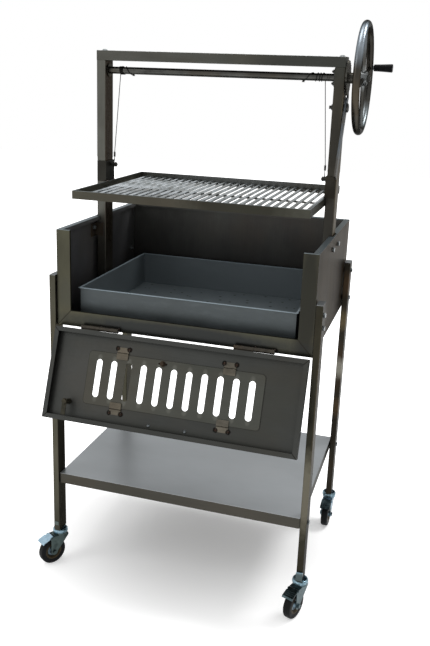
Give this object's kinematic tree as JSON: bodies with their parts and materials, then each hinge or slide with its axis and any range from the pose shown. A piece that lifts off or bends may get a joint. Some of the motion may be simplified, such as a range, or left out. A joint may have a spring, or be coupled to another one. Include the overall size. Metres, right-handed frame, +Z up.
{
  "type": "santa maria grill",
  "caption": "Wheeled open-fire grill: sheet firebox with drop-down vented door and loose pan, gantry with a handwheel shaft and two cables that raise the grate.",
  "frame": {"origin": "on the floor, under the middle of the firebox", "axes": "+Z up, front with the door towards -Y, handwheel towards +X"},
  "size_m": [0.9799, 0.7452, 1.775],
  "materials": {
    "black_plastic": "black moulded grip",
    "bright_steel": "bright polished stainless",
    "cable_steel": "stranded steel cable",
    "caster_rubber": "black rubber on a tan hub",
    "dark_steel": "mill-finish steel, darkened and rusted at welds",
    "pan_steel": "slate blue-grey, specked",
    "sheet_steel": "brushed stainless sheet, heat tinted",
    "shelf_steel": "smooth satin sheet",
    "tube_steel": "brushed stainless, heat tinted",
    "zinc": "zinc plated"
  },
  "bodies": {
    "stand": {"leg_front_left": "tube_steel", "leg_front_right": "tube_steel", "leg_rear_left": "tube_steel", "leg_rear_right": "tube_steel", "shelf": "shelf_steel", "frame_bolts": "zinc", "frame_nuts": "zinc", "firebox_left_wall": "sheet_steel", "firebox_right_wall": "sheet_steel", "firebox_back_wall": "sheet_steel", "firebox_floor": "sheet_steel", "front_frame": "sheet_steel", "upright_left": "tube_steel", "upright_right": "tube_steel", "crossbar": "tube_steel", "upright_brackets": "dark_steel", "shaft_bush_left": "bright_steel", "shaft_bearing": "bright_steel", "bearing_screws": "zinc", "hinge_frame_halves": "dark_steel", "pawl_bolt": "zinc", "caster_mounts": "zinc"},
    "drum": {"lift_shaft": "bright_steel", "drive_stub": "bright_steel", "cable_winding_left": "cable_steel", "cable_winding_right": "cable_steel", "shaft_screws": "zinc", "ratchet_wheel": "bright_steel", "handwheel": "bright_steel", "handle_spindle": "zinc"},
    "grip": {"handle_grip": "black_plastic"},
    "pawl": {"pawl": "dark_steel"},
    "lift": {"grate_frame": "dark_steel", "grate_rods": "bright_steel", "grate_flats": "dark_steel", "carriage_left": "sheet_steel", "carriage_right": "sheet_steel", "cable_fittings": "zinc", "lift_cable_left": "cable_steel", "lift_cable_right": "cable_steel"},
    "pan": {"charcoal_pan": "pan_steel"},
    "door": {"door_shell": "sheet_steel", "vent_clips": "dark_steel", "door_handle": "zinc", "hinge_door_halves": "dark_steel"},
    "latch": {"door_latch": "dark_steel"},
    "vent": {"vent_slider": "sheet_steel", "vent_knob": "dark_steel"},
    "fork_front_left": {"caster_fork_front_left": "zinc"},
    "wheel_front_left": {"caster_wheel_front_left": "caster_rubber"},
    "pedal_front_left": {"brake_pedal_front_left": "zinc"},
    "fork_front_right": {"caster_fork_front_right": "zinc"},
    "wheel_front_right": {"caster_wheel_front_right": "caster_rubber"},
    "pedal_front_right": {"brake_pedal_front_right": "zinc"},
    "fork_rear_left": {"caster_fork_rear_left": "zinc"},
    "wheel_rear_left": {"caster_wheel_rear_left": "caster_rubber"},
    "pedal_rear_left": {"brake_pedal_rear_left": "zinc"},
    "fork_rear_right": {"caster_fork_rear_right": "zinc"},
    "wheel_rear_right": {"caster_wheel_rear_right": "caster_rubber"},
    "pedal_rear_right": {"brake_pedal_rear_right": "zinc"}
  },
  "joints": [
    {"name": "wheel_turn", "type": "hinge", "parent": "stand", "child": "drum", "pos_m": [0, -0.0025, 1.613], "axis": [1, 0, 0], "range_deg": [-540, 870]},
    {"name": "grate_lift", "type": "slide", "parent": "stand", "child": "lift", "axis": [0, 0, 1], "range_m": [-0.1136, 0.183], "deforming": ["lift_cable_left", "lift_cable_right"]},
    {"name": "handle_spin", "type": "hinge", "parent": "drum", "child": "grip", "pos_m": [0.4545, 0.14492, 1.64568], "axis": [1, 0, 0], "continuous": true},
    {"name": "pawl_swing", "type": "hinge", "parent": "stand", "child": "pawl", "pos_m": [0.3975, -0.0025, 1.528], "axis": [1, 0, 0], "range_deg": [-25, 3.5]},
    {"name": "door_hinge", "type": "hinge", "parent": "stand", "child": "door", "pos_m": [0, -0.3185, 0.852], "axis": [1, 0, 0], "range_deg": [-159, 0]},
    {"name": "vent_slide", "type": "slide", "parent": "door", "child": "vent", "axis": [1, 0, 0], "range_m": [0, 0.026]},
    {"name": "latch_turn", "type": "hinge", "parent": "door", "child": "latch", "pos_m": [-0.322, -0.40146, 0.63588], "axis": [0, -0.9336, 0.3584], "range_deg": [-90, 0]},
    {"name": "pan_lift", "type": "slide", "parent": "stand", "child": "pan", "axis": [0, 0, 1], "range_m": [0, 0.12]},
    {"name": "swivel_front_left", "type": "hinge", "parent": "stand", "child": "fork_front_left", "pos_m": [-0.412, -0.293, 0.1], "axis": [0, 0, 1], "continuous": true},
    {"name": "roll_front_left", "type": "hinge", "parent": "fork_front_left", "child": "wheel_front_left", "pos_m": [-0.42997, -0.32068, 0.045], "axis": [0.8387, -0.5446, 0], "continuous": true},
    {"name": "pedal_tip_front_left", "type": "hinge", "parent": "fork_front_left", "child": "pedal_front_left", "pos_m": [-0.4327, -0.32487, 0.097], "axis": [0.8387, -0.5446, 0], "range_deg": [0, 8]},
    {"name": "swivel_front_right", "type": "hinge", "parent": "stand", "child": "fork_front_right", "pos_m": [0.412, -0.293, 0.1], "axis": [0, 0, 1], "continuous": true},
    {"name": "roll_front_right", "type": "hinge", "parent": "fork_front_right", "child": "wheel_front_right", "pos_m": [0.40071, -0.32401, 0.045], "axis": [0.9397, -0.342, 0], "continuous": true},
    {"name": "pedal_tip_front_right", "type": "hinge", "parent": "fork_front_right", "child": "pedal_front_right", "pos_m": [0.399, -0.32871, 0.097], "axis": [0.9397, -0.342, 0], "range_deg": [0, 8]},
    {"name": "swivel_rear_left", "type": "hinge", "parent": "stand", "child": "fork_rear_left", "pos_m": [-0.412, 0.279, 0.1], "axis": [0, 0, 1], "continuous": true},
    {"name": "roll_rear_left", "type": "hinge", "parent": "fork_rear_left", "child": "wheel_rear_left", "pos_m": [-0.41773, 0.2465, 0.045], "axis": [0.9848, -0.1736, 0], "continuous": true},
    {"name": "pedal_tip_rear_left", "type": "hinge", "parent": "fork_rear_left", "child": "pedal_rear_left", "pos_m": [-0.4186, 0.24158, 0.097], "axis": [0.9848, -0.1736, 0], "range_deg": [0, 8]},
    {"name": "swivel_rear_right", "type": "hinge", "parent": "stand", "child": "fork_rear_right", "pos_m": [0.412, 0.279, 0.1], "axis": [0, 0, 1], "continuous": true},
    {"name": "roll_rear_right", "type": "hinge", "parent": "fork_rear_right", "child": "wheel_rear_right", "pos_m": [0.41085, 0.24602, 0.045], "axis": [0.9994, -0.0349, 0], "continuous": true},
    {"name": "pedal_tip_rear_right", "type": "hinge", "parent": "fork_rear_right", "child": "pedal_rear_right", "pos_m": [0.41067, 0.24102, 0.097], "axis": [0.9994, -0.0349, 0], "range_deg": [0, 8]}
  ],
  "couplings": [
    {"joint": "grate_lift", "follows": "wheel_turn", "m_per_rad": 0.01205}
  ]
}
